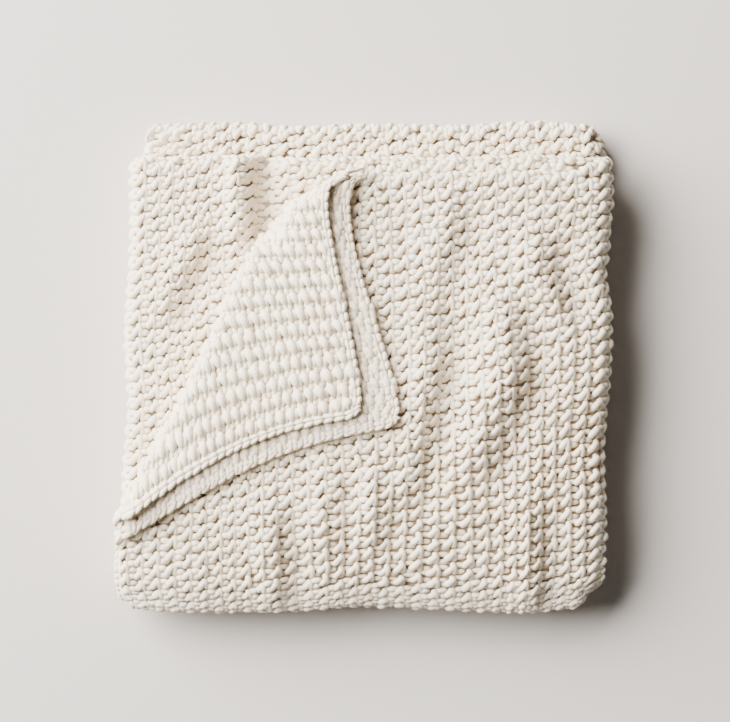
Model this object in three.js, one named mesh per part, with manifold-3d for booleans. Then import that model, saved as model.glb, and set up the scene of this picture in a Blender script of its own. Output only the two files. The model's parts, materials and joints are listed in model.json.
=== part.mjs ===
// A chunky-knit throw, doubled over, folded in thirds and then in half, with one corner turned back.
//
// Millimetres, +Z up. X runs along the front fold and +Y points to the back, where the loose ends lie.
// The origin is under the middle of the packet, on the surface it rests on.
//
// Plies are numbered from the floor: 1 to 6 are the lower half and 7 to 12 the upper half.
//   1, 2 and 11, 12   right third, the outermost
//   3, 4 and 9, 10    left third, tucked between
//   5, 6 and 7, 8     centre third
// Flap plies 13 and 14 are the turned-back corner of plies 12 and 11.

import * as THREE from "three";
import { mergeVertices } from "three/addons/utils/BufferGeometryUtils.js";
import Module from "manifold-3d";

const wasm = await Module();
wasm.setup();

// Driving dimensions
const width = 425; // left to right over the side bends
const depth = 425; // front bend to back bend
const clothThickness = 5.7; // one ply of the knit
const airGap = 0.3; // between faces that lie together
const centreSetback = 27; // back edges of the centre and left thirds, in from the back bend
const topSetback = 42; // back edges of the right third, in from the back bend
const freeEdgeSetback = 8; // free edge of the left third, in from the right side bends
const creaseFromLeft = 182; // where the crease meets the top leaf's back edge, from the left side
const creaseFromFront = 104; // where the crease meets the left side, from the packet's front
const tipFromLeft = 238; // corner of the flap, from the left side
const tipFromFront = 167; // corner of the flap, from the packet's front
const tipRadius = 12; // rounding of the flap's corner
const flapPlyStep = 26; // how far the lower flap ply shows past the upper one
const bendSegments = 5; // flats in a quarter turn
const curveSegments = 6; // flats in the flap's rounded corner
const edgeSides = 8; // flats round a chain edge's bar

// Derived sizes
const pitch = clothThickness + airGap;
const plies = 12;
const halfPlies = plies / 2;
const edgeRadius = clothThickness / 2;
const edgeBand = 2 * edgeRadius + airGap; // room that a chain edge takes beside its ply

// Middle height of a ply, counted from the floor; fractions give heights between plies.
const midHeight = (ply) => (ply - 1) * pitch + clothThickness / 2;
const frontAxisHeight = midHeight((plies + 1) / 2);

// The bend that joins two plies has this middle radius.
const bendRadius = (plyA, plyB) => (Math.abs(plyA - plyB) / 2) * pitch;
const outerRadius = (plyA, plyB) => bendRadius(plyA, plyB) + clothThickness / 2;

const frontY = -depth / 2 + outerRadius(1, plies); // where the plies end and the front bends start
const backY = depth / 2 - outerRadius(1, 2); // where the lower half turns back on itself
const rightX = width / 2 - outerRadius(7, 12); // where the right side bends start
const leftX = -width / 2 + outerRadius(7, 10); // where the left side bends start
const leafLeftX = -width / 2; // free left edge of the right third

const creaseStartX = -width / 2 + outerRadius(11, 14); // keeps the crease bends inside the packet

const creaseBack = new THREE.Vector2(-width / 2 + creaseFromLeft, depth / 2 - topSetback);
const creaseSide = new THREE.Vector2(-width / 2, -depth / 2 + creaseFromFront);
const flapTip = new THREE.Vector2(-width / 2 + tipFromLeft, -depth / 2 + tipFromFront);

const wool = { color: 0xe6dfd3, roughness: 0.95, metalness: 0 };
const edgeWool = { color: 0xdcd4c6, roughness: 0.95, metalness: 0 };

const upperHalf = new THREE.Group();
const lowerHalf = new THREE.Group();
const turnedCorner = new THREE.Group();

function addMesh(group, name, geometry, look = wool) {
  const mesh = new THREE.Mesh(geometry, new THREE.MeshStandardMaterial(look));
  mesh.name = name;
  group.add(mesh);
}

const isUpper = (ply) => ply > halfPlies;
const groupOf = (ply) => (isUpper(ply) ? upperHalf : lowerHalf);
// The ply of the upper half that the front bend joins to this one.
const twin = (ply) => plies + 1 - ply;
const upperTwin = (ply) => (isUpper(ply) ? ply : twin(ply));
// The two top plies turn over at the crease.
const isCreased = (ply) => ply > plies - 2;

function thirdOf(ply) {
  const upper = upperTwin(ply);
  if (upper <= 8) return "centre";
  return upper <= 10 ? "left" : "right";
}

// The right and left thirds each have one free edge, with a chain edge beside the cloth.
function leftLimit(ply) {
  return thirdOf(ply) === "right" ? leafLeftX + edgeBand : leftX + airGap;
}

function rightLimit(ply) {
  return thirdOf(ply) === "left" ? rightX - freeEdgeSetback - edgeBand : rightX - airGap;
}

// Back end of the plies of one third in the upper half, where the chain edge starts.
function openBackY(ply) {
  const setback = thirdOf(ply) === "right" ? topSetback : centreSetback;
  return depth / 2 - setback - edgeBand;
}

const backLimit = (ply) => (isUpper(ply) ? openBackY(ply) : backY - airGap);

// Closed outline from points, with its corner at roundIndex rounded by an arc.
function outlineShape(points, roundIndex = -1, radius = 0) {
  const shape = new THREE.Shape();
  points.forEach((point, index) => {
    if (index !== roundIndex) {
      if (index === 0) shape.moveTo(point.x, point.y);
      else shape.lineTo(point.x, point.y);
      return;
    }
    const before = points[index - 1].clone().sub(point).normalize();
    const after = points[(index + 1) % points.length].clone().sub(point).normalize();
    const start = point.clone().addScaledVector(before, radius);
    const end = point.clone().addScaledVector(after, radius);
    shape.lineTo(start.x, start.y);
    shape.quadraticCurveTo(point.x, point.y, end.x, end.y);
  });
  shape.closePath();
  return shape;
}

// Flat layer of cloth with this outline, at the height of the given ply.
function plyGeometry(shape, ply) {
  const options = { depth: clothThickness, bevelEnabled: false, curveSegments };
  const geometry = new THREE.ExtrudeGeometry(shape, options);
  geometry.translate(0, 0, (ply - 1) * pitch);
  return geometry;
}

const corner = (x, y) => new THREE.Vector2(x, y);

// The crease as a straight line from the left side to the back, moved right by a distance square to itself.
const creaseAlong = creaseBack.clone().sub(creaseSide).normalize();
const creaseRight = corner(creaseAlong.y, -creaseAlong.x);

const creaseStart = (offset) => creaseSide.clone().addScaledVector(creaseRight, offset);

// Where the crease line, moved right by offset, meets the line y = level or x = level.
function creaseAtY(level, offset) {
  const start = creaseStart(offset);
  return start.addScaledVector(creaseAlong, (level - start.y) / creaseAlong.y);
}

function creaseAtX(level, offset) {
  const start = creaseStart(offset);
  return start.addScaledVector(creaseAlong, (level - start.x) / creaseAlong.x);
}

// The creased plies lose their back left corner; the others are rectangles.
function plyOutline(ply) {
  const left = leftLimit(ply);
  const right = rightLimit(ply);
  const back = backLimit(ply);
  const front = frontY + airGap;
  const backLeft = isCreased(ply)
    ? [creaseAtY(back, airGap), creaseAtX(left, airGap)]
    : [corner(left, back)];
  return outlineShape([
    corner(left, front),
    corner(right, front),
    corner(right, back),
    ...backLeft,
  ]);
}

function buildPlies() {
  for (let ply = 1; ply <= plies; ply++) {
    const layer = ply % 2 === (isUpper(ply) ? 0 : 1) ? "outer" : "inner";
    const half = isUpper(ply) ? "upper" : "lower";
    const name = `${half}_${thirdOf(ply)}_third_${layer}_ply`;
    addMesh(groupOf(ply), name, plyGeometry(plyOutline(ply), ply));
  }
}

// Half a tube wall, bulging towards +x of its own plane, from -90 to +90 degrees.
function halfRing(radius, centreX = 0, centreY = 0) {
  const outer = radius + clothThickness / 2;
  const inner = radius - clothThickness / 2;
  const shape = new THREE.Shape();
  shape.moveTo(centreX, centreY - outer);
  shape.absarc(centreX, centreY, outer, -Math.PI / 2, Math.PI / 2, false);
  shape.lineTo(centreX, centreY + inner);
  shape.absarc(centreX, centreY, inner, Math.PI / 2, -Math.PI / 2, true);
  shape.closePath();
  return shape;
}

// A half tube whose axis runs from start to end and whose bulge points along outward.
function bendGeometry(radius, start, end, outward) {
  const length = start.distanceTo(end);
  const options = { depth: length, bevelEnabled: false, curveSegments: bendSegments };
  const geometry = new THREE.ExtrudeGeometry(halfRing(radius), options);
  const along = end.clone().sub(start).normalize();
  const up = along.clone().cross(outward);
  const basis = new THREE.Matrix4().makeBasis(outward, up, along);
  geometry.applyMatrix4(basis.setPosition(start));
  return geometry;
}

function buildFrontBends() {
  for (let ply = 1; ply <= halfPlies; ply++) {
    const start = new THREE.Vector3(leftLimit(ply), frontY, frontAxisHeight);
    const end = new THREE.Vector3(rightLimit(ply), frontY, frontAxisHeight);
    const toFront = new THREE.Vector3(0, -1, 0);
    const geometry = bendGeometry(bendRadius(ply, twin(ply)), start, end, toFront);
    addMesh(upperHalf, `front_bend_${ply}`, geometry);
  }
}

// Every side bend: the two upper plies that it joins, and its side. The lower half mirrors it.
const sideBends = [
  { name: "right_outer", plies: [7, 12], side: 1 },
  { name: "right_inner", plies: [8, 11], side: 1 },
  { name: "left_outer", plies: [7, 10], side: -1 },
  { name: "left_inner", plies: [8, 9], side: -1 },
];

function sideBend(bend, [plyA, plyB], back, name, group) {
  const x = bend.side > 0 ? rightX : leftX;
  const height = (midHeight(plyA) + midHeight(plyB)) / 2;
  const start = new THREE.Vector3(x, frontY + airGap, height);
  const end = new THREE.Vector3(x, back, height);
  const outward = new THREE.Vector3(bend.side, 0, 0);
  addMesh(group, name, bendGeometry(bendRadius(plyA, plyB), start, end, outward));
}

function buildSideBends() {
  for (const bend of sideBends) {
    const openBack = openBackY(bend.plies[1]);
    sideBend(bend, bend.plies, openBack, `upper_${bend.name}_side_bend`, upperHalf);
    const lower = bend.plies.map(twin);
    sideBend(bend, lower, backY - airGap, `lower_${bend.name}_side_bend`, lowerHalf);
  }
}

function toManifold(geometry) {
  const bare = geometry.clone();
  bare.deleteAttribute("normal");
  bare.deleteAttribute("uv");
  const merged = mergeVertices(bare, 1e-4);
  const vertProperties = Float32Array.from(merged.attributes.position.array);
  const triVerts = Uint32Array.from(merged.index.array);
  return new wasm.Manifold(new wasm.Mesh({ numProp: 3, vertProperties, triVerts }));
}

function toGeometry(solid) {
  const mesh = solid.getMesh();
  const geometry = new THREE.BufferGeometry();
  geometry.setAttribute("position", new THREE.BufferAttribute(mesh.vertProperties, 3));
  geometry.setIndex(new THREE.BufferAttribute(mesh.triVerts, 1));
  return geometry;
}

// A side bend carried round the front axis: the front half of a ring turned about X.
function cornerSweep(bend) {
  const [plyA, plyB] = bend.plies;
  const centre = (midHeight(plyA) + midHeight(plyB)) / 2 - frontAxisHeight;
  const section = halfRing(bendRadius(plyA, plyB)).getPoints(bendSegments);
  const profile = section.map((p) => corner(p.y + centre, p.x));
  if (!profile[0].equals(profile[profile.length - 1])) profile.push(profile[0].clone());
  const ring = new THREE.LatheGeometry(profile.reverse(), 4 * bendSegments);
  const size = 4 * outerRadius(1, plies);
  const box = new THREE.BoxGeometry(size, size, size).translate(0, 0, size / 2);
  const front = toGeometry(toManifold(ring).intersect(toManifold(box)));
  // The ring's own axis Y becomes the outward side, and its front half faces -Y of the packet.
  const outward = new THREE.Vector3(bend.side, 0, 0);
  const forward = new THREE.Vector3(0, -1, 0);
  const third = outward.clone().cross(forward);
  const basis = new THREE.Matrix4().makeBasis(third, outward, forward);
  const x = bend.side > 0 ? rightX : leftX;
  front.applyMatrix4(basis.setPosition(x, frontY, frontAxisHeight));
  return front;
}

function buildCornerSweeps() {
  for (const bend of sideBends) {
    addMesh(upperHalf, `front_${bend.name}_corner_bend`, cornerSweep(bend));
  }
}

// The doubled throw turns back on itself at the back of the lower half, once in each third.
function buildBackBends() {
  for (const ply of [1, 3, 5]) {
    const height = (midHeight(ply) + midHeight(ply + 1)) / 2;
    const start = new THREE.Vector3(rightLimit(ply), backY, height);
    const end = new THREE.Vector3(leftLimit(ply), backY, height);
    const toBack = new THREE.Vector3(0, 1, 0);
    const geometry = bendGeometry(bendRadius(ply, ply + 1), start, end, toBack);
    addMesh(lowerHalf, `back_${thirdOf(ply)}_third_bend`, geometry);
  }
}

// A bar for a chain-stitched edge, from one plan point to another at a ply's height.
function chainEdge(group, name, from, to, ply) {
  const length = from.distanceTo(to);
  const geometry = new THREE.CylinderGeometry(edgeRadius, edgeRadius, length, edgeSides);
  const middle = from.clone().add(to).multiplyScalar(0.5);
  const turn = Math.atan2(to.y - from.y, to.x - from.x);
  geometry.rotateY(Math.PI / edgeSides);
  geometry.rotateZ(-Math.PI / 2);
  geometry.rotateZ(turn);
  geometry.translate(middle.x, middle.y, midHeight(ply));
  addMesh(group, name, geometry, edgeWool);
}

function buildBackEdges() {
  for (let ply = halfPlies + 1; ply <= plies; ply++) {
    const y = backLimit(ply) + airGap + edgeRadius;
    const left = isCreased(ply) ? creaseAtY(y + edgeRadius, airGap).x : leftLimit(ply);
    chainEdge(upperHalf, `back_edge_${ply}`, corner(left, y), corner(rightLimit(ply), y), ply);
  }
}

function buildFreeEdges() {
  for (let ply = 1; ply <= plies; ply++) {
    if (thirdOf(ply) === "centre") continue;
    const onLeft = thirdOf(ply) === "right";
    const beside = airGap + edgeRadius;
    const x = onLeft ? leftLimit(ply) - beside : rightLimit(ply) + beside;
    const cut = isCreased(ply) ? creaseAtX(x - edgeRadius, airGap).y : backLimit(ply);
    const side = onLeft ? "left" : "right";
    chainEdge(groupOf(ply), `${side}_edge_${ply}`, corner(x, frontY + airGap), corner(x, cut), ply);
  }
}

// The flap's outline: the crease, moved right to clear its bend, and the corner moved by step.
function flapOutline(step) {
  const back = depth / 2 - topSetback - edgeBand;
  const tip = flapTip.clone().addScaledVector(creaseRight, -step);
  const points = [creaseAtX(creaseStartX, airGap), tip, creaseAtY(back, airGap)];
  return { points, shape: outlineShape(points, 1, tipRadius) };
}

// A chain edge beside one side of the flap, stopping short of both ends.
function flapEdge(name, from, to, ply) {
  const along = to.clone().sub(from).normalize();
  const outward = corner(along.y, -along.x).multiplyScalar(airGap + edgeRadius);
  const start = from.clone().addScaledVector(along, tipRadius).add(outward);
  const end = to.clone().addScaledVector(along, -tipRadius).add(outward);
  chainEdge(turnedCorner, name, start, end, ply);
}

function buildFlap() {
  const steps = { lower: 0, upper: flapPlyStep };
  for (const [layer, step] of Object.entries(steps)) {
    const ply = layer === "lower" ? plies + 1 : plies + 2;
    const { points, shape } = flapOutline(step);
    const [side, tip, back] = points;
    addMesh(turnedCorner, `flap_${layer}_ply`, plyGeometry(shape, ply));
    flapEdge(`flap_${layer}_front_edge`, side, tip, ply);
    flapEdge(`flap_${layer}_right_edge`, tip, back, ply);
  }
}

// Plies 12 and 11 turn over the crease into flap plies 13 and 14.
function buildCreaseBends() {
  const pairs = { inner: [plies, plies + 1], outer: [plies - 1, plies + 2] };
  const y = depth / 2 - topSetback - edgeBand;
  const side = creaseAtX(creaseStartX, 0);
  const back = creaseAtY(y, 0);
  const height = (midHeight(plies) + midHeight(plies + 1)) / 2;
  for (const [layer, [plyA, plyB]] of Object.entries(pairs)) {
    const start = new THREE.Vector3(side.x, side.y, height);
    const end = new THREE.Vector3(back.x, back.y, height);
    const outward = new THREE.Vector3(-creaseRight.x, -creaseRight.y, 0);
    const geometry = bendGeometry(bendRadius(plyA, plyB), start, end, outward);
    addMesh(turnedCorner, `crease_${layer}_bend`, geometry);
  }
}

buildPlies();
buildFrontBends();
buildSideBends();
buildCornerSweeps();
buildBackBends();
buildBackEdges();
buildFreeEdges();
buildFlap();
buildCreaseBends();

const foldedThrow = new THREE.Group();
foldedThrow.add(lowerHalf, upperHalf, turnedCorner);

export default foldedThrow;
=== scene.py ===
"""A folded chunky-knit throw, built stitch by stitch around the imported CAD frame.

The cloth of each half is one long strip that runs in a flat spiral: over the right third, round the right
side bend, under the centre third, round the left side bend and over the left third. In the frame's metres,
a place on the cloth is (u, t, w): u along that spiral from the right third's free edge, t from the loose
back ends (t < 0), round the front fold (0 to FOLD_LENGTH) and on to the back of the lower half, and w
outwards from the middle of the outer cloth. The inner cloth lies at w = -PITCH.
"""

import json
import math

import bpy
import numpy as np
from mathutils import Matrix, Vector


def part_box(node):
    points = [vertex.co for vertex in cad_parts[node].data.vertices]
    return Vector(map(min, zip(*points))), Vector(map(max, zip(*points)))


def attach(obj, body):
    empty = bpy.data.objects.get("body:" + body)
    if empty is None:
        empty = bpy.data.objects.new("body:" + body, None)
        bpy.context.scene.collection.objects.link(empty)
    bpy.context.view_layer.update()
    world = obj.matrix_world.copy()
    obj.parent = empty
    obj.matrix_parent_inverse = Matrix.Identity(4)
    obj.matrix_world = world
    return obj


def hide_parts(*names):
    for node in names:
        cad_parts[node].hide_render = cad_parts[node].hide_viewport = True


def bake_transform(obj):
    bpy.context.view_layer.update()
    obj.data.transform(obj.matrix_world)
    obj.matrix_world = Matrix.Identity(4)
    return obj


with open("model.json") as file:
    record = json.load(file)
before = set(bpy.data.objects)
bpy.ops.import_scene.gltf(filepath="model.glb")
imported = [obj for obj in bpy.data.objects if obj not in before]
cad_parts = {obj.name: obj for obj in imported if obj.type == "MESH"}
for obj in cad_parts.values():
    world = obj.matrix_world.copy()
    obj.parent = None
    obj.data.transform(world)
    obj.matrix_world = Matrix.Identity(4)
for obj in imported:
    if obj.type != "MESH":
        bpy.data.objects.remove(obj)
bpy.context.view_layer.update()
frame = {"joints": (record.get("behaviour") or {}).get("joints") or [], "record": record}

# ---------------------------------------------------------------- sizes from the frame

def low(node):
    return np.array(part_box(node)[0])


def high(node):
    return np.array(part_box(node)[1])


CLOTH = (high("upper_right_third_outer_ply") - low("upper_right_third_outer_ply"))[2]
PITCH = (high("upper_right_third_outer_ply") - high("upper_right_third_inner_ply"))[2]
FOLD_Y = high("front_bend_1")[1]
FOLD_Z = (high("front_bend_1")[2] + low("front_bend_1")[2]) / 2
RIGHT_X = low("lower_right_outer_side_bend")[0]
LEFT_X = high("lower_left_outer_side_bend")[0]
LEAF_X = low("left_edge_1")[0]
TUCKED_X = high("right_edge_3")[0]
BACK_Y = low("back_right_third_bend")[1]
TOP_BACK_Y = high("upper_right_third_outer_ply")[1]
CENTRE_BACK_Y = high("upper_centre_third_outer_ply")[1]
TOP_Z = high("upper_right_third_outer_ply")[2]
HALF = high("upper_right_outer_side_bend")[0]  # half the packet's width and depth
joints = {joint["name"]: joint for joint in frame["joints"]}
CREASE_ALONG = -np.array(joints["corner_fold"]["axis"][:2])
CREASE_MIDDLE = np.array(joints["corner_fold"]["pos_m"][:2])
CREASE_SIDE_Y = CREASE_MIDDLE[1] - (CREASE_MIDDLE[0] - LEAF_X) * CREASE_ALONG[1] / CREASE_ALONG[0]

# ---------------------------------------------------------------- the knit

MM = 0.001
WALE = 13.2 * MM  # one rib of stitches, across
STITCH = 12.0 * MM  # one stitch, along
FLAP_WALE = 13.5 * MM  # the turned corner lies wider across its ribs
FLAP_STITCH = 9.2 * MM
CHAIN = 8.0 * MM  # one link of a chain-stitched edge
STITCH_SPREAD = 0.35 * MM  # how far a stitch lies from its even place
CHAIN_SPREAD = 0.15 * MM  # and a link of an edge
SIZE_SPREAD = 0.04  # as a share of a strand's size
TURN_SPREAD = 0.045  # in radians
random = np.random.default_rng(7)


def smooth(x):
    x = np.clip(x, 0.0, 1.0)
    return x * x * (3 - 2 * x)


class Mesh:
    """Vertices, faces and yarn coordinates gathered from many small closed pieces."""

    def __init__(self):
        self.points, self.quads, self.caps, self.yarn, self.count = [], [], [], [], 0

    def add(self, points, quads, caps, yarn):
        """points (pieces, n, 3), with faces and yarn coordinates as in one piece."""
        pieces, n = points.shape[:2]
        base = self.count + n * np.arange(pieces)
        self.points.append(points.reshape(-1, 3))
        self.quads.append((quads[None] + base[:, None, None]).reshape(-1, 4))
        if len(caps):
            self.caps.append((caps[None] + base[:, None, None]).reshape(-1, caps.shape[1]))
        self.yarn.append(np.tile(yarn, (pieces, 1)))
        self.count += pieces * n

    def build(self, name):
        points = np.vstack(self.points)
        groups = [np.vstack(self.quads)] + self.caps
        loops = np.concatenate([g.ravel() for g in groups])
        sizes = np.concatenate([np.full(len(g), g.shape[1]) for g in groups])
        mesh = bpy.data.meshes.new(name)
        mesh.vertices.add(len(points))
        mesh.vertices.foreach_set("co", points.astype(np.float32).ravel())
        mesh.loops.add(len(loops))
        mesh.loops.foreach_set("vertex_index", loops.astype(np.int32))
        mesh.polygons.add(len(sizes))
        starts = np.concatenate([[0], np.cumsum(sizes)[:-1]])
        mesh.polygons.foreach_set("loop_start", starts.astype(np.int32))
        mesh.polygons.foreach_set("use_smooth", np.ones(len(sizes), bool))
        mesh.update(calc_edges=True)
        uv = mesh.uv_layers.new(name="yarn")
        uv.data.foreach_set("uv", np.vstack(self.yarn)[loops].astype(np.float32).ravel())
        piece = bpy.data.objects.new(name, mesh)
        bpy.context.scene.collection.objects.link(piece)
        return piece


STITCH_TIP = 0.68  # radius of a stitch's strand at its ends, as a share of its radius in the middle
LINK_TIP = 0.45
LINK_RADIUS = 2.0 * MM


def strand(path, radius, rings, sides, tip=LINK_TIP):
    """A plump closed length of yarn along a curve set by three points, as (points, quads, caps, yarn)."""
    t = np.linspace(0, 1, rings)[:, None]
    start, bow, end = np.array(path)
    centre = (1 - t) ** 2 * start + 2 * t * (1 - t) * bow + t**2 * end
    along = np.gradient(centre, axis=0)
    along /= np.linalg.norm(along, axis=1)[:, None]
    side = np.cross(along, (0, 0, 1))
    side /= np.linalg.norm(side, axis=1)[:, None]
    up = np.cross(side, along)
    fat = radius * (tip + (1 - tip) * np.sqrt(1 - np.abs(2 * t - 1) ** 2.4))
    turn = np.arange(sides) * 2 * math.pi / sides
    ring = np.cos(turn)[None, :, None] * side[:, None] + np.sin(turn)[None, :, None] * up[:, None]
    points = (centre[:, None] + fat[:, None] * ring).reshape(-1, 3)
    k, s = np.meshgrid(np.arange(rings - 1), np.arange(sides), indexing="ij")
    a, b = (k * sides + s).ravel(), (k * sides + (s + 1) % sides).ravel()
    quads = np.stack([a, b, b + sides, a + sides], axis=1)
    last = (rings - 1) * sides
    caps = np.stack([np.arange(sides)[::-1], last + np.arange(sides)])
    length = np.linalg.norm(end - start)
    along_yarn = np.repeat(t[:, 0] * length, sides)
    yarn = np.stack([along_yarn, np.tile(np.arange(sides) / sides, rings)], axis=1)
    return points, quads, caps, yarn


# A stitch is two lengths of yarn that lean together, and between two ribs lie two short bars. Each is
# three points, as (across in ribs, along in stitches, height in millimetres), and a half thickness.
CLOSE_STITCH = (
    (((-0.31, 0.04, -2.0), (-0.18, 0.32, 2.7), (0.12, 0.60, 0.2)), 3.1),
    (((0.00, 0.80, -0.6), (0.20, 0.52, 2.3), (0.22, -0.04, -2.0)), 3.0),
    (((0.24, 0.20, -1.8), (0.50, 0.25, 2.2), (0.76, 0.20, -1.8)), 3.0),
    (((0.24, 0.70, -1.8), (0.50, 0.75, 2.2), (0.76, 0.70, -1.8)), 3.0),
)
# The same where the knit is drawn open, so that the bars lie deeper and dark gaps show: real shadow between
# the strands, over a cloth beneath that is painted dark as shade.
OPEN_STITCH = (
    (((-0.35, 0.06, -2.6), (-0.10, 0.30, 3.8), (0.18, 0.62, -0.2)), 2.95),
    (((0.04, 0.84, -0.6), (0.20, 0.50, 2.6), (0.15, 0.00, -1.4)), 2.7),
    (((0.16, 0.20, -4.4), (0.50, 0.25, -0.2), (0.84, 0.20, -4.4)), 2.5),
    (((0.16, 0.70, -4.4), (0.50, 0.75, -0.2), (0.84, 0.70, -4.4)), 2.5),
)
# The turned corner shows the cloth's other face, with plump ribs and deep valleys.
CORNER_STITCH = (
    (((-0.32, 0.00, -1.8), (-0.10, 0.30, 3.4), (0.28, 0.44, -1.8)), 3.7),
    (((-0.24, 0.78, -2.2), (0.10, 0.80, 2.0), (0.34, 0.66, -2.8)), 2.8),
    (((0.28, 0.20, -3.0), (0.50, 0.25, 0.0), (0.72, 0.20, -3.0)), 2.7),
    (((0.28, 0.70, -3.0), (0.50, 0.75, 0.0), (0.72, 0.70, -3.0)), 2.7),
)


def stitch_strands(stitch_shape, wale, stitch, rings, sides):
    """One stitch's strands at full size. rings and sides say how finely they are made."""
    made = []
    for path, radius in stitch_shape:
        points = [(x * wale, y * stitch, w * MM) for x, y, w in path]
        is_bar = path[0][1] == path[2][1]
        fewer = 3 if is_bar else 0
        made.append(strand(points, radius * MM, max(rings - fewer, 4), max(sides - fewer, 6), STITCH_TIP))
    return made


def link_strands():
    """One link of a chain-stitched edge, as two lengths that lean together."""
    made = []
    for side in (1, -1):
        path = [(side * 1.8, -5.0, -1.2), (side * 2.4, 0.5, 2.2), (side * 0.2, 4.4, 0.2)]
        made.append(strand([np.array(point) * MM for point in path], LINK_RADIUS, 6, 7))
    return made


def turned(strands):
    """The same strands for an edge that runs across the ribs."""
    made = []
    for points, quads, caps, yarn in strands:
        made.append((points[:, [1, 0, 2]], quads[:, ::-1], caps[:, ::-1], yarn))
    return made


def knit(mesh, place, u, t, side, strands, loose=STITCH_SPREAD):
    """Sets a stitch at each (u, t), each a little different. place maps (u, t, w) to the frame. side is 1
    for the cloth's outer face and -1 for its other one."""
    cells = len(u)
    for points, quads, caps, yarn in strands:
        size = 1 + random.normal(0, SIZE_SPREAD, (cells, 1))
        shift = random.normal(0, loose, (cells, 3))
        turn = random.normal(0, TURN_SPREAD, (cells, 1))
        x = (points[None, :, 0] - turn * points[None, :, 1]) * size + shift[:, :1]
        y = (points[None, :, 1] + turn * points[None, :, 0]) * size + shift[:, 1:2]
        w = points[None, :, 2] * size + shift[:, 2:]
        placed = place(u[:, None] + x, t[:, None] - y, side * w)
        mesh.add(placed, quads[:, ::side], caps[:, ::side], yarn)


def shell(mesh, place, u, t, w_low, w_high):
    """A thin closed sheet over the grid u, t (2-D arrays), between two depths."""
    n, m = u.shape
    both = [place(u, t, np.full(u.shape, w)) for w in (w_low, w_high)]
    points = np.concatenate([b.reshape(-1, 3) for b in both])
    i, j = np.meshgrid(np.arange(n - 1), np.arange(m - 1), indexing="ij")
    a = (i * m + j).ravel()
    under = np.stack([a, a + 1, a + m + 1, a + m], axis=1)
    over = under[:, ::-1] + n * m
    rim = np.concatenate([
        np.arange(m), np.arange(1, n) * m + m - 1,
        (n - 1) * m + np.arange(m - 2, -1, -1), np.arange(n - 2, 0, -1) * m,
    ])
    after = np.roll(rim, -1)
    side = np.stack([rim, rim + n * m, after + n * m, after], axis=1)
    quads = np.concatenate([under, over, side])
    yarn = np.stack([np.tile(u.ravel(), 2), np.tile(t.ravel(), 2)], axis=1)
    mesh.add(points[None], quads, np.empty((0, 3), int), yarn)


# ---------------------------------------------------------------- how the cloth lies

def height(ply):
    """Height of a ply's middle above the front fold's axis, plies counted from the floor."""
    return (ply - 6.5) * PITCH


RIGHT_RADIUS = (height(12) - height(7)) / 2
LEFT_RADIUS = (height(10) - height(7)) / 2
FOLD_LENGTH = math.pi * (height(12) + CLOTH / 2)
U_RIGHT = RIGHT_X - LEAF_X  # where the right side bend starts
U_UNDER = U_RIGHT + math.pi * RIGHT_RADIUS  # where the centre third starts
U_LEFT = U_UNDER + RIGHT_X - LEFT_X  # where the left side bend starts
U_OVER = U_LEFT + math.pi * LEFT_RADIUS  # where the left third starts
U_END = U_OVER + TUCKED_X - LEFT_X
T_LAST = FOLD_LENGTH + BACK_Y - FOLD_Y  # back of the lower half
TURN = PITCH / 2  # radius where the cloth turns back on itself at the back
EDGE_ROUND = 9 * MM  # the right third's free edge droops over the left side
OUTER_TURNS = 9 * MM  # the front fold's stitches are made where the spiral is higher than this


def spiral(u, w):
    """Across the packet: (x, height above the fold's axis) for a place on the cloth."""
    top, under, tucked = height(12), height(7), height(10)
    a = np.clip((u - U_RIGHT) / RIGHT_RADIUS, 0, math.pi)
    b = np.clip((u - U_LEFT) / LEFT_RADIUS, 0, math.pi)
    x = LEAF_X + np.minimum(u, U_RIGHT) - np.clip(u - U_UNDER, 0, U_LEFT - U_UNDER)
    x = x + np.maximum(u - U_OVER, 0)
    x = x + (RIGHT_RADIUS + w) * np.sin(a) - (LEFT_RADIUS + w) * np.sin(b)
    h = np.where(
        u < U_UNDER,
        (top + under) / 2 + (RIGHT_RADIUS + w) * np.cos(a),
        (tucked + under) / 2 - (LEFT_RADIUS + w) * np.cos(b),
    )
    droop = np.clip((EDGE_ROUND - u) / EDGE_ROUND, 0, 1)
    h = h - np.where(u < U_RIGHT, EDGE_ROUND * 0.8 * (1 - np.sqrt(1 - 0.96 * droop**2)), 0)
    return x, h


def lay(u, t, w):
    """A place on the folded cloth, before it settles."""
    over = np.clip(t - T_LAST, 0, math.pi * TURN) / TURN
    x, h = spiral(u, np.where(t > T_LAST, (w + TURN) * np.cos(over) - TURN, w))
    turn = np.clip(t / FOLD_LENGTH, 0, 1) * math.pi
    y = FOLD_Y - h * np.sin(turn) + np.maximum(-t, 0)
    y = y + np.clip(t - FOLD_LENGTH, 0, T_LAST - FOLD_LENGTH)
    y = y + np.where(t > T_LAST, (TURN + w) * np.sin(over), 0)
    z = FOLD_Z + h * np.cos(turn)
    return settle(np.stack([x, y, z], axis=-1))


# Soft folds in the cloth, as lines from one (x, y) to another, a half width and a height, in millimetres.
# The cloth rises to the left of a line and dips to its right.
FOLDS = (
    ((-95, 205), (-95, 120), 11, 16.0),
    ((-142, 100), (-166, 55), 13, 7.0),
    ((80, 125), (68, 86), 14, 4.0),
    ((60, 46), (62, 4), 14, 3.5),
    ((60, -12), (40, -108), 12, 4.8),
    ((132, 40), (135, -8), 15, 6.5),
    ((131, -22), (104, -82), 14, 5.0),
    ((160, 92), (170, 54), 13, 6.0),
    ((-68, -135), (-68, -200), 12, 4.5),
    ((-22, -100), (-25, -150), 11, 2.5),
    ((15, -95), (15, -145), 11, 3.5),
    ((150, -135), (154, -200), 12, 4.5),
    ((95, 10), (78, -60), 14, -3.0),
)
SAG = 14 * MM  # how far the top sinks towards its front
SIDE_SAG = 0.4  # what share of that it sinks towards its right and left sides
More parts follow.
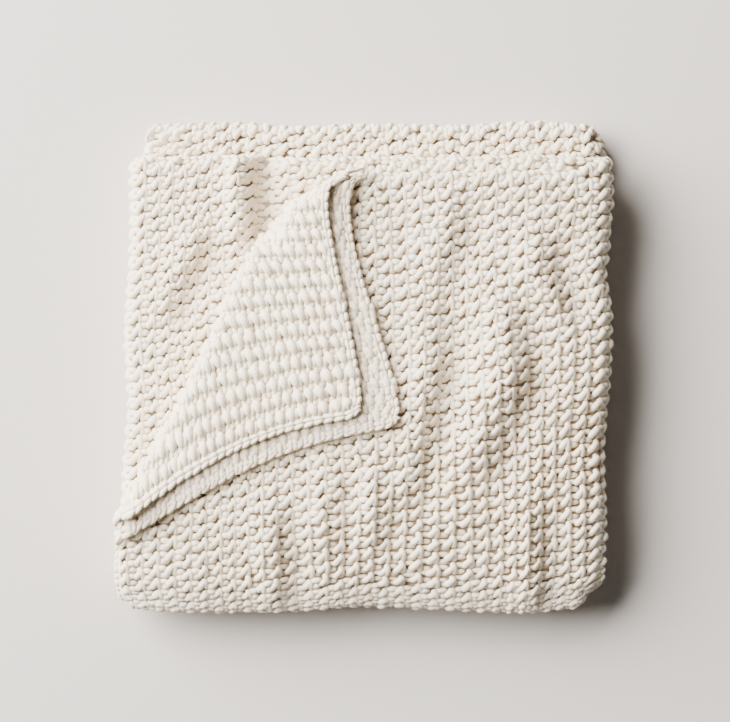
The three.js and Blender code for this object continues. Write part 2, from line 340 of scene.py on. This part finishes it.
# Where the top starts to sink, from the middle, and over what width it does, at the sides and at the front.
SAG_X, SAG_X_BAND = 140 * MM, 80 * MM
SAG_Y, SAG_Y_BAND = 115 * MM, 110 * MM
STILL = 100 * MM  # nothing is drawn in nearer to the middle than this
SIDE_BAND = 110 * MM  # beyond it the sides are drawn in, more and more over this width
# Slow waves of the middle to the right and left, as size, radians for a metre of x and of y, and phase.
SWAYS = ((2.2 * MM, 23, 9, 0.7), (1.4 * MM, 51, -17, 0.0))

# How far each side lies in from the packet's square, as (place along the side, distance) in millimetres.
LEFT_INSET = ((-212, 3), (-182, 0), (-111, 4), (-24, 9), (26, 6), (113, 11), (212, 11))
RIGHT_INSET = ((-212, 12), (-175, 7), (-127, 6), (-74, 8), (7, 2), (43, 1), (80, 6), (110, 3), (150, 0),
               (212, 3))
FRONT_INSET = ((-212, 4), (-160, 1), (-90, 1), (13, 6), (92, 2), (140, 0), (190, 4), (212, 8))
BACK_INSET = ((-212, 3), (-120, 1), (-60, 4), (0, 2), (80, 3), (140, 0), (212, 3))
LOWER_TUCK = 12 * MM  # how much further in the lower half lies at its back left corner
TUCK_Y, TUCK_BAND = 165 * MM, 30 * MM  # where that starts along the left side, and over what length
LOWER_WAVE = 2 * MM  # how far the lower half's right side wanders in and out
FOLD_BAND = 12 * MM  # the lower half passes into the upper one over this height
CORNER_ROUND = {(1, -1): 24 * MM, (-1, -1): 16 * MM, (1, 1): 18 * MM, (-1, 1): 12 * MM}


def eased(place, stations):
    """A smooth run through (place, value) stations given in millimetres."""
    places = np.array([s[0] for s in stations]) * MM
    values = np.array([s[1] for s in stations]) * MM
    k = np.clip(np.searchsorted(places, place) - 1, 0, len(places) - 2)
    share = smooth((place - places[k]) / (places[k + 1] - places[k]))
    return values[k] + share * (values[k + 1] - values[k])


def ripple(x, y):
    """Height of the soft folds at a place."""
    total = np.zeros_like(x)
    for start, end, width, rise in FOLDS:
        a, b = np.array(start) * MM, np.array(end) * MM
        along = b - a
        length = np.linalg.norm(along)
        share = np.clip(((x - a[0]) * along[0] + (y - a[1]) * along[1]) / length**2, 0, 1)
        gap2 = (x - a[0] - share * along[0]) ** 2 + (y - a[1] - share * along[1]) ** 2
        right_of = ((y - a[1]) * along[0] - (x - a[0]) * along[1]) / length
        total -= rise * MM * right_of / (width * MM) * np.exp(0.5 - gap2 / (2 * (width * MM) ** 2))
    return total


def round_corners(x, y):
    """Draws the packet's square corners in to arcs."""
    for (sx, sy), radius in CORNER_ROUND.items():
        dx, dy = sx * x - (HALF - radius), sy * y - (HALF - radius)
        inside = (dx > 0) & (dy > 0)
        wide = np.maximum(dx, dy)
        pull = np.where(inside, wide / np.maximum(np.hypot(dx, dy), 1e-9), 1)
        x = np.where(inside, sx * (HALF - radius + dx * pull), x)
        y = np.where(inside, sy * (HALF - radius + dy * pull), y)
    return x, y


def settle(p):
    """Lets the neat packet settle as soft cloth does: waves on top, and sides that wander in and out."""
    x, y, z = p[..., 0], p[..., 1], p[..., 2]
    lift = smooth((z - FOLD_Z) / (TOP_Z - FOLD_Z))
    lower = 1 - smooth((z - FOLD_Z + FOLD_BAND / 2) / FOLD_BAND)
    left, right = (smooth((side * x - STILL) / SIDE_BAND) for side in (-1, 1))
    front, back = (smooth((side * y - STILL) / SIDE_BAND) for side in (-1, 1))
    middle = (1 - left) * (1 - right)
    x, y = round_corners(x, y)
    back_left = lower * LOWER_TUCK * smooth((y - TUCK_Y) / TUCK_BAND)
    inward = left * (eased(y, LEFT_INSET) + back_left)
    outward = right * (eased(y, RIGHT_INSET) + LOWER_WAVE * lower * np.sin(y * 33 + 1))
    sway = middle * sum(size * np.sin(x * by_x + y * by_y + phase) for size, by_x, by_y, phase in SWAYS)
    away = front * eased(x, FRONT_INSET) - back * eased(x, BACK_INSET)
    sunk = SIDE_SAG * smooth((np.abs(x) - SAG_X) / SAG_X_BAND) + smooth((-y - SAG_Y) / SAG_Y_BAND)
    z = z + lift * (ripple(x, y) - SAG * sunk)
    return np.stack([x + inward - outward + sway, y + away, z], axis=-1)


# ---------------------------------------------------------------- the crease and the turned corner

CREASE_SIDE = np.array([LEAF_X, CREASE_SIDE_Y])
CREASE_OUT = np.array([-CREASE_ALONG[1], CREASE_ALONG[0]])  # square to the crease, to the back left
# How far the rounded crease stands out past the straight crease line, along it from its side end.
CREASE_BULGE = ((-30, -14), (0, -6), (40, 2), (95, 4), (150, 6), (207, 14), (255, 18), (285, 14), (310, 5),
                (335, -9), (350, -20), (380, -30))
LEAF_STOPS = 9 * MM  # the top leaf's stitches stop this far short of the crease's outline
LEAF_CLOTH_STOPS = 12 * MM  # and its cloth
CREASE_Z = FOLD_Z + height(12.5)
# Where the corner's two cloths bunch up off the leaf, as middle, size and rise in millimetres.
BUNCHES = (((-20, 152), 26, 4.2), ((-190, -128), 24, 3.4), ((-20, 10), 90, 0.8))
TIP_ROUND = 13 * MM  # radius of its rounded tip
FLAP_REACH = 0.3  # longer than the turned corner, along its ribs
SIDE_ROLL = 10 * MM  # radius of the turned corner's roll over the packet's left side
ROLL_X = LEAF_X + 11 * MM  # where that roll starts


def crease_frame(x, y):
    """A place as (along the crease line from its side end, out past it)."""
    dx, dy = x - CREASE_SIDE[0], y - CREASE_SIDE[1]
    return dx * CREASE_ALONG[0] + dy * CREASE_ALONG[1], dx * CREASE_OUT[0] + dy * CREASE_OUT[1]


def past_crease(x, y, inset):
    """How far a place lies past the crease line that is inset from the crease's outline."""
    along, out = crease_frame(x, y)
    return out - (eased(along, CREASE_BULGE) - inset)


class Flap:
    """One cloth of the turned corner. u runs down its right edge, and t from that edge to the left."""

    def __init__(self, ply, hook, edge, slope, bend):
        """hook is the short curve where the right edge leaves the crease, and edge the long one from there
        to the corner, in millimetres. The ribs fall by slope to the left, and by bend more each metre."""
        self.radius = (ply - 12.5) * PITCH
        self.inset = self.radius + CLOTH / 2 + 1.0 * MM
        self.slope, self.bend = slope, bend
        self.rise = ply - 12
        f = np.linspace(0, 1, 60)[:, None]
        a, b, c = np.array(hook) * MM
        start = (1 - f) ** 2 * a + 2 * f * (1 - f) * b + f**2 * c
        a, b, c, d = np.array(edge) * MM
        rest = (1 - f) ** 3 * a + 3 * f * (1 - f) ** 2 * b + 3 * f**2 * (1 - f) * c + f**3 * d
        self.edge = np.vstack([start, rest[1:]])
        steps = np.linalg.norm(np.diff(self.edge, axis=0), axis=1)
        self.lengths = np.concatenate([[0], np.cumsum(steps)])
        self.hook, self.length = self.lengths[59], self.lengths[-1]

    def flat(self, u, t):
        """The place on the flat flap, as if the crease weren't there."""
        down, in_from_edge = u - (self.length - TIP_ROUND), TIP_ROUND - t
        at_tip = (down > 0) & (in_from_edge > 0)
        pull = np.maximum(down, in_from_edge) / np.maximum(np.hypot(down, in_from_edge), 1e-9)
        u = np.where(at_tip, self.length - TIP_ROUND + down * pull, u)
        t = np.where(at_tip, TIP_ROUND - in_from_edge * pull, t)
        on = np.clip(u, 0, self.length)
        x, y = (np.interp(on, self.lengths, self.edge[:, k]) for k in (0, 1))
        share = np.clip((u - self.hook) / (self.length - self.hook), 0, 1.1) ** 1.3
        tilt = share * (self.slope + self.bend * np.maximum(t, 0))
        drop = share * (self.slope * t + self.bend * np.maximum(t, 0) ** 2 / 2)
        return x - t * np.cos(tilt / 2), y - drop - (u - on)

    def place(self, u, t, w):
        x, y = self.flat(u, t)
        past = np.maximum(past_crease(x, y, self.inset), 0)
        angle = np.minimum(past / self.radius, math.pi)
        reach = (self.radius + w) * np.sin(angle) - past
        x, y = x + reach * CREASE_OUT[0], y + reach * CREASE_OUT[1]
        z = CREASE_Z + (self.radius + w) * np.cos(angle)
        for middle, size, more in BUNCHES:
            gap2 = (x - middle[0] * MM) ** 2 + (y - middle[1] * MM) ** 2
            bunch = more * MM * self.rise * np.exp(-gap2 / (2 * (size * MM) ** 2))
            z = z + (angle < math.pi / 2) * bunch
        over = np.clip((ROLL_X - x) / SIDE_ROLL, 0, math.pi / 2)
        deep = SIDE_ROLL + z - CREASE_Z
        x = np.where(over > 0, ROLL_X - deep * np.sin(over), x)
        z = z - deep * (1 - np.cos(over))
        return settle(np.stack([x, y, z], axis=-1))

    def shows(self, u, t, turns):
        """Whether the flap is wanted there: up to so many radii past the crease, and over the side."""
        x, y = self.flat(u, t)
        return (past_crease(x, y, self.inset) < turns * self.radius) & (x > ROLL_X - 1.3 * SIDE_ROLL)


UPPER_FLAP = Flap(
    14,
    hook=((-9, 167), (-34, 168), (-36, 143)),
    edge=((-36, 143), (-37, 105), (-9, 45), (-5, -39)),
    slope=0.111,
    bend=2.72,
)
LOWER_FLAP = Flap(
    13,
    hook=((0, 163), (-15, 164), (-17, 146)),
    edge=((-17, 146), (-19, 105), (13, 30), (26, -46)),
    slope=0.16,
    bend=1.9,
)

# ---------------------------------------------------------------- stitches

# How finely a strand is made, as (rings along it, sides round it).
FINE = (8, 9)
PLAIN = (6, 7)
ROUGH = (5, 6)


def openness(x, y):
    """How far the knit is drawn open, from 0 to 1: most at the front right, but not round the sides."""
    side = smooth((y + 0.205) / 0.03) * smooth((0.205 - x) / 0.02)
    return side * smooth((0.6 * x - 0.8 * y + 20 * MM) / (200 * MM))


def knit_both(mesh, place, u, t, level):
    """Sets stitches of both kinds, closed ones and drawn ones, by how open the knit is at each place."""
    p = place(u, t, 0 * u)
    drawn = random.normal(0.5, 0.12, len(u)) < openness(p[..., 0], p[..., 1])
    for shape, chosen in ((CLOSE_STITCH, ~drawn), (OPEN_STITCH, drawn)):
        if chosen.any():
            knit(mesh, place, u[chosen], t[chosen], 1, stitch_strands(shape, WALE, STITCH, *level))


def grid(u0, u1, t0, t1, wale=WALE, stitch=STITCH):
    """Stitch places that fill a range of the cloth, on one pattern over the whole cloth."""
    columns = np.arange(math.ceil(u0 / wale - 0.5), math.ceil(u1 / wale - 0.5)) + 0.5
    rows = np.arange(math.ceil(t0 / stitch) - 1, math.ceil(t1 / stitch) + 1)
    u, t = np.meshgrid(columns * wale, rows * stitch, indexing="ij")
    t = t + (np.modf(np.abs(columns) * 0.618)[0] * 0.7 * stitch)[:, None]
    keep = (t >= t0) & (t < t1)
    return u[keep], t[keep]


def kept(cells, mask):
    """The stitch places where mask is true."""
    return cells[0][mask], cells[1][mask]


def back_start(u):
    """t of the upper half's loose back ends: the right third lies further in than the other two."""
    near = smooth((u - U_RIGHT + 26 * MM) / (U_UNDER - U_RIGHT))
    return FOLD_Y - (TOP_BACK_Y + (CENTRE_BACK_Y - TOP_BACK_Y) * near)


def upper_cells(u0, u1):
    """Stitch places on the upper half from one u to another, up to its loose back ends."""
    u, t = grid(u0, u1, FOLD_Y - CENTRE_BACK_Y, 0)
    return kept((u, t), t > back_start(u) + 0.45 * STITCH)


def plan(u, t):
    """Where a stitch of the outer cloth lies in plan."""
    p = lay(u, t, np.zeros_like(u))
    return p[..., 0], p[..., 1]


def leaf_shows(u, t):
    """Whether a place on the top leaf lies this side of the crease."""
    x, y = plan(u, t)
    return (past_crease(x, y, LEAF_STOPS) < 0) | (u > U_RIGHT)


def chain(mesh, place, strands, u, t, w=0.0):
    """Chain links at each (u, t), for the cloth at depth w."""
    knit(mesh, lambda a, b, c: place(a, b, c + w), u, t, 1, strands, CHAIN_SPREAD)


# The left third has stitches this far in under the crease and along the back, and is bare under the leaf.
BARE_IN, BARE_BACK = 45 * MM, 30 * MM
ALONG_RIBS = link_strands()
ACROSS_RIBS = turned(ALONG_RIBS)
# A flap's right edge runs along u and its front edge along t.
ALONG_RIBS_FLAP = ACROSS_RIBS
ACROSS_RIBS_FLAP = ALONG_RIBS


def make_upper():
    """The upper half's edges and stitches, left out where the top leaf or its corner hides them."""
    top = Mesh()
    cells = upper_cells(WALE * 0.4, U_UNDER - 0.4 * WALE)
    knit_both(top, lay, *kept(cells, leaf_shows(*cells)), FINE)
    left = Mesh()
    cells = upper_cells(U_LEFT + 0.4 * WALE, U_END - 0.5 * WALE)
    x, y = plan(*cells)
    past_corner = past_crease(x, y, BARE_IN) > 0
    shows = past_corner | (y > TOP_BACK_Y - BARE_BACK) | (cells[0] < U_OVER)
    knit_both(left, lay, *kept(cells, shows), FINE)
    under = Mesh()
    knit_both(under, lay, *upper_cells(U_UNDER - 0.4 * WALE, U_LEFT + 0.4 * WALE), ROUGH)
    edges = Mesh()
    for w in (0.0, -PITCH):
        u = np.arange(0, U_END, CHAIN)
        t = back_start(u) + 1.5 * MM
        for shows, low_by in ((leaf_shows(u, t) & (u < U_UNDER), 1 * MM), (u > U_UNDER, 3 * MM)):
            chain(edges, lay, ACROSS_RIBS, u[shows], t[shows], w - low_by)
        t = np.arange(FOLD_Y - TOP_BACK_Y, 0, CHAIN)
        shows = leaf_shows(0 * t, t)
        chain(edges, lay, ALONG_RIBS, 0 * t[shows] + 1 * MM, t[shows], w)
    return {"stitches_top_leaf": top, "stitches_left_third": left, "stitches_upper_underside": under,
            "edges_upper": edges}


def make_fold():
    """The stitches and edges that go round the front, on the outer turns that show."""
    mesh, edges = Mesh(), Mesh()
    for u0, u1, level in ((WALE * 0.4, U_UNDER, FINE), (U_LEFT, U_OVER + 2 * WALE, PLAIN)):
        cells = grid(u0, u1, 0, FOLD_LENGTH)
        h = spiral(cells[0], 0 * cells[0])[1]
        knit_both(mesh, lay, *kept(cells, h > OUTER_TURNS), level)
    for w in (0.0, -PITCH):
        t = np.arange(0, FOLD_LENGTH, CHAIN)
        chain(edges, lay, ALONG_RIBS, 0 * t + 1 * MM, t, w)
    return {"stitches_front_fold": mesh, "edges_front_fold": edges}


def make_lower():
    """The lower half's stitches, finest along the back strip that shows, and its edges."""
    top, sides, bottom, back, edges = Mesh(), Mesh(), Mesh(), Mesh(), Mesh()
    cells = grid(U_UNDER - 0.4 * WALE, U_LEFT + 0.4 * WALE, FOLD_LENGTH, T_LAST + 0.5 * STITCH)
    strip = cells[1] > T_LAST - 55 * MM
    knit_both(top, lay, *kept(cells, strip), FINE)
    knit_both(top, lay, *kept(cells, ~strip), ROUGH)
    for u0, u1 in ((U_RIGHT - 0.4 * WALE, U_UNDER - 0.4 * WALE), (U_LEFT + 0.4 * WALE, U_OVER)):
        knit_both(sides, lay, *grid(u0, u1, FOLD_LENGTH, T_LAST), PLAIN)
    knit_both(bottom, lay, *grid(WALE * 0.4, U_RIGHT - 0.4 * WALE, FOLD_LENGTH, T_LAST), ROUGH)
    u = np.arange(0.5, U_END / WALE - 0.5) * WALE
    knit_both(back, lay, u, 0 * u + T_LAST + math.pi * TURN / 2 + 0.4 * STITCH, PLAIN)
    for w in (0.0, -PITCH):
        t = np.arange(FOLD_LENGTH, T_LAST, CHAIN)
        chain(edges, lay, ALONG_RIBS, 0 * t + 1 * MM, t, w)
    return {"stitches_lower_top": top, "stitches_lower_sides": sides, "stitches_lower_bottom": bottom,
            "stitches_lower_back": back, "edges_lower": edges}


def make_corner():
    """The turned corner's two cloths, with whole ribs on each, and the upper one's bend at the crease."""
    top, lower, under, crease, edges = Mesh(), Mesh(), Mesh(), Mesh(), Mesh()
    for flap, mesh in ((UPPER_FLAP, top), (LOWER_FLAP, lower)):
        inside = flap.length - 1 * MM
        wale = inside / round(inside / FLAP_WALE)  # so that its last rib ends at its front edge
        strands = stitch_strands(CORNER_STITCH, wale, FLAP_STITCH, *FINE)
        cells = grid(0.1 * wale, inside, 0.6 * FLAP_STITCH, FLAP_REACH, wale, FLAP_STITCH)
        before = flap.shows(*cells, 0)
        knit(mesh, flap.place, *kept(cells, before), 1, strands)
        if flap is UPPER_FLAP:
            knit(crease, flap.place, *kept(cells, flap.shows(*cells, 3.0) & ~before), 1, strands)
        else:
            plain = stitch_strands(CLOSE_STITCH, wale, FLAP_STITCH, *PLAIN)
            knit(under, flap.place, *kept(cells, before), -1, plain)
        u = np.arange(0, flap.length, CHAIN)
        chain(edges, flap.place, ALONG_RIBS_FLAP, u, 0 * u + 1.5 * MM)
        t = np.arange(0, FLAP_REACH, CHAIN)
        end = 0 * t + flap.length + 1 * MM
        shows = flap.shows(end, t, 1)
        chain(edges, flap.place, ACROSS_RIBS_FLAP, end[shows], t[shows])
    return {"stitches_flap_top": top, "stitches_flap_lower": lower, "stitches_flap_underside": under,
            "stitches_crease": crease, "edges_flap": edges}


# ---------------------------------------------------------------- the cloth under the stitches

# The stretches of the spiral, each from one u to another, with how many grid lines it is made of.
SPANS = (
    (0, U_RIGHT, 40),
    (U_RIGHT, U_UNDER, 14),
    (U_UNDER, U_LEFT, 40),
    (U_LEFT, U_OVER, 10),
    (U_OVER, U_END, 40),
)
LINES_ALONG = 30
# Lower and upper face of the outer and the inner cloth, and of both cloths of the turned corner, as w.
DEPTHS = ((-4.4 * MM, -2.8 * MM), (-PITCH - 1 * MM, -PITCH + 1 * MM))
FLAP_DEPTH = (-2.2 * MM, -1.4 * MM)
CREASE_TURNS = 2.8  # how far its cloth goes round the crease, in crease radii


def leaf_start(t):
    """Where the top leaf starts at each t, as u: at its free edge, or at the crease."""
    starts = []
    for one in t:
        u = np.linspace(0, U_RIGHT, 400)
        x, y = plan(u, 0 * u + one)
        past = u[past_crease(x, y, LEAF_CLOTH_STOPS) > 0]
        starts.append(past.max() if len(past) else 0.0)
    return np.array(starts)


def lay_deep(u, t, w):
    """As lay, but where the knit is drawn open the cloth under its stitches lies deeper."""
    p = lay(u, t, w)
    return lay(u, t, w - 1.6 * MM * openness(p[..., 0], p[..., 1]))


def make_cloth(t0, t1):
    """The two cloths of the spiral, between t0 (None for the loose back ends) and t1."""
    mesh = Mesh()
    for u0, u1, n in SPANS:
        share = np.linspace(0, 1, LINES_ALONG)
        if t0 is None and u0 == 0:
            t = np.repeat((FOLD_Y - TOP_BACK_Y) * (1 - share)[None], n, axis=0)
            first = leaf_start(t[0])
            u = first + np.linspace(0, 1, n)[:, None] * (U_RIGHT - first)
        else:
            u = np.repeat(np.linspace(u0, u1, n)[:, None], LINES_ALONG, axis=1)
            first = back_start(u[:, :1]) if t0 is None else np.full((n, 1), t0)
            t = first + share * (t1 - first)
        for (low_w, high_w), place in zip(DEPTHS, (lay_deep, lay)):
            shell(mesh, place, u, t, low_w, high_w)
    return mesh


def flap_reach(flap, u, turns):
    """How far a flap goes from its right edge at each u, up to so many crease radii past the crease."""
    reach = np.linspace(0, FLAP_REACH, 300)
    return np.array([reach[flap.shows(0 * reach + one, reach, turns)].max(initial=0) for one in u])


def make_flap_cloth():
    """The two cloths of the turned corner, as its flat part and the part that bends round the crease."""
    flat, crease = Mesh(), Mesh()
    share = np.linspace(0, 1, 40)
    least = 0.5 * MM
    for flap in (UPPER_FLAP, LOWER_FLAP):
        u = np.linspace(0, flap.length, 30)
        first = flap_reach(flap, u, 0)[:, None]
        last = np.maximum(flap_reach(flap, u, CREASE_TURNS)[:, None], first + least)
        for mesh, t in ((flat, share * (first + least)), (crease, first + share * (last - first))):
            shell(mesh, flap.place, u[:, None] + 0 * t, t, *FLAP_DEPTH)
    return flat, crease


# ---------------------------------------------------------------- materials

def material_yarn(name, colour, shade):
    """Matte cotton yarn: fine fibres, a loose twist along each length, and tones that drift."""
    material = bpy.data.materials.new(name)
    material.use_nodes = True
    nodes, links = material.node_tree.nodes, material.node_tree.links
    shader = nodes["Principled BSDF"]
    shader.inputs["Roughness"].default_value = 0.92
    shader.inputs["Sheen Weight"].default_value = 0.25
    shader.inputs["Sheen Roughness"].default_value = 0.5
    shader.inputs["Specular IOR Level"].default_value = 0.2
    shader.inputs["Base Color"].default_value = (*colour, 1)
    place = nodes.new("ShaderNodeTexCoord")
    drift = nodes.new("ShaderNodeTexNoise")
    drift.inputs["Scale"].default_value = 28
    drift.inputs["Detail"].default_value = 5
    tones = nodes.new("ShaderNodeValToRGB")
    tones.color_ramp.elements[0].position = 0.32
    tones.color_ramp.elements[0].color = (*[c * s for c, s in zip(colour, shade)], 1)
    tones.color_ramp.elements[1].position = 0.62
    tones.color_ramp.elements[1].color = (*colour, 1)
    links.new(place.outputs["Object"], drift.inputs["Vector"])
    links.new(drift.outputs["Fac"], tones.inputs["Fac"])
    links.new(tones.outputs["Color"], shader.inputs["Base Color"])
    fibre = nodes.new("ShaderNodeTexNoise")
    fibre.inputs["Scale"].default_value = 900
    fibre.inputs["Detail"].default_value = 4
    links.new(place.outputs["Object"], fibre.inputs["Vector"])
    yarn = nodes.new("ShaderNodeUVMap")
    yarn.uv_map = "yarn"
    stretch = nodes.new("ShaderNodeMapping")
    stretch.inputs["Scale"].default_value = (500, 3, 1)
    twist = nodes.new("ShaderNodeTexWave")
    twist.bands_direction = "DIAGONAL"
    twist.inputs["Scale"].default_value = 1.0
    twist.inputs["Distortion"].default_value = 1.5
    links.new(yarn.outputs["UV"], stretch.inputs["Vector"])
    links.new(stretch.outputs["Vector"], twist.inputs["Vector"])
    both = nodes.new("ShaderNodeMath")
    both.operation = "MULTIPLY_ADD"
    both.inputs[1].default_value = 0.5
    links.new(twist.outputs["Fac"], both.inputs[0])
    links.new(fibre.outputs["Fac"], both.inputs[2])
    bump = nodes.new("ShaderNodeBump")
    bump.inputs["Strength"].default_value = 0.8
    bump.inputs["Distance"].default_value = 0.5 * MM
    links.new(both.outputs["Value"], bump.inputs["Height"])
    links.new(bump.outputs["Normal"], shader.inputs["Normal"])
    return material


YARN = material_yarn("cream_yarn", (0.935, 0.835, 0.685), (0.95, 0.93, 0.89))
# Painted shade: the cloth sheets under the stitches are coloured dark brown, so that the gaps between
# stitches look like deep shade, though the real yarn there is the same cream.
PAINTED_SHADE_YARN = material_yarn("painted_shade_yarn", (0.42, 0.335, 0.245), (0.9, 0.87, 0.82))

# ---------------------------------------------------------------- putting the throw together

FOLD_TOP, FOLD_BOTTOM = (0, FOLD_Y, 2 * FOLD_Z), (0, FOLD_Y, 0)


def add_piece(name, mesh):
    """Builds a piece, and its name tells its material and the body it follows; the front fold's and the
    crease's pieces are left in place, following no body.
    """
    piece = mesh.build(name)
    # The cloth sheets get the painted dark shade colour, all but the crease's cloth, which stays cream.
    has_painted_shade = name.startswith("cloth") and "crease" not in name
    piece.data.materials.append(PAINTED_SHADE_YARN if has_painted_shade else YARN)
    if "front_fold" in name:
        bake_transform(piece)
        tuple(FOLD_BOTTOM)
        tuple(FOLD_TOP)
    elif "crease" in name:
        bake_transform(piece)
    elif "flap" in name or "corner" in name:
        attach(piece, "turned_corner")
    else:
        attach(piece, "lower_half" if "lower" in name else "upper_half")
    return piece


def make_throw():
    upper, fold, lower, corner = make_upper(), make_fold(), make_lower(), make_corner()
    bodies = frame["record"]["behaviour"]["bodies"]
    bends = [node for node in bodies["upper_half"] if node.startswith("front")]
    plies = [node for node in bodies["upper_half"] if node not in bends]
    crease_bends = [node for node in bodies["turned_corner"] if node.startswith("crease")]
    flap = [node for node in bodies["turned_corner"] if node not in crease_bends]
    flap_cloth, crease_cloth = make_flap_cloth()
    crease = {"stitches_crease": corner.pop("stitches_crease")}
    groups = (
        ("cloth_upper", make_cloth(None, 0.0), upper, plies),
        ("cloth_lower", make_cloth(FOLD_LENGTH, T_LAST), lower, bodies["lower_half"]),
        ("cloth_front_fold", make_cloth(0.0, FOLD_LENGTH), fold, bends),
        ("cloth_turned_corner", flap_cloth, corner, flap),
        ("cloth_crease", crease_cloth, crease, crease_bends),
    )
    for cloth_name, cloth_mesh, meshes, nodes in groups:
        cloth = add_piece(cloth_name, cloth_mesh)
        pieces = [add_piece(name, mesh) for name, mesh in meshes.items()]
        for node in nodes:
            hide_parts(node)


make_throw()

# ---------------------------------------------------------------- floor, camera and light

def make_floor():
    bpy.ops.mesh.primitive_plane_add(size=8, location=(0, 0, -1.5 * MM))
    floor = bpy.context.object
    floor.name = "floor"
    material = bpy.data.materials.new("pale_floor")
    material.use_nodes = True
    shader = material.node_tree.nodes["Principled BSDF"]
    shader.inputs["Base Color"].default_value = (0.575, 0.546, 0.524, 1)
    shader.inputs["Roughness"].default_value = 0.8
    floor.data.materials.append(material)


def make_camera():
    camera = bpy.data.objects.new("camera", bpy.data.cameras.new("camera"))
    camera.location = (0, 0.005, 2.2)
    camera.data.lens = 123.8
    bpy.context.scene.collection.objects.link(camera)
    bpy.context.scene.camera = camera


def make_light(name, place, size, power):
    light = bpy.data.objects.new(name, bpy.data.lights.new(name, "AREA"))
    light.location = place
    light.data.energy = power
    light.data.size = size
    light.data.color = (1.0, 0.96, 0.905)
    aim = Vector((0, 0, 0.04)) - Vector(place)
    light.rotation_euler = aim.to_track_quat("-Z", "Y").to_euler()
    bpy.context.scene.collection.objects.link(light)


def make_world():
    world = bpy.data.worlds.new("studio")
    world.use_nodes = True
    world.node_tree.nodes["Background"].inputs["Color"].default_value = (1.0, 0.985, 0.97, 1)
    world.node_tree.nodes["Background"].inputs["Strength"].default_value = 0.085
    bpy.context.scene.world = world


make_floor()
make_camera()
make_light("key", (-2.15, 1.25, 1.70), 3.0, 775)
make_world()
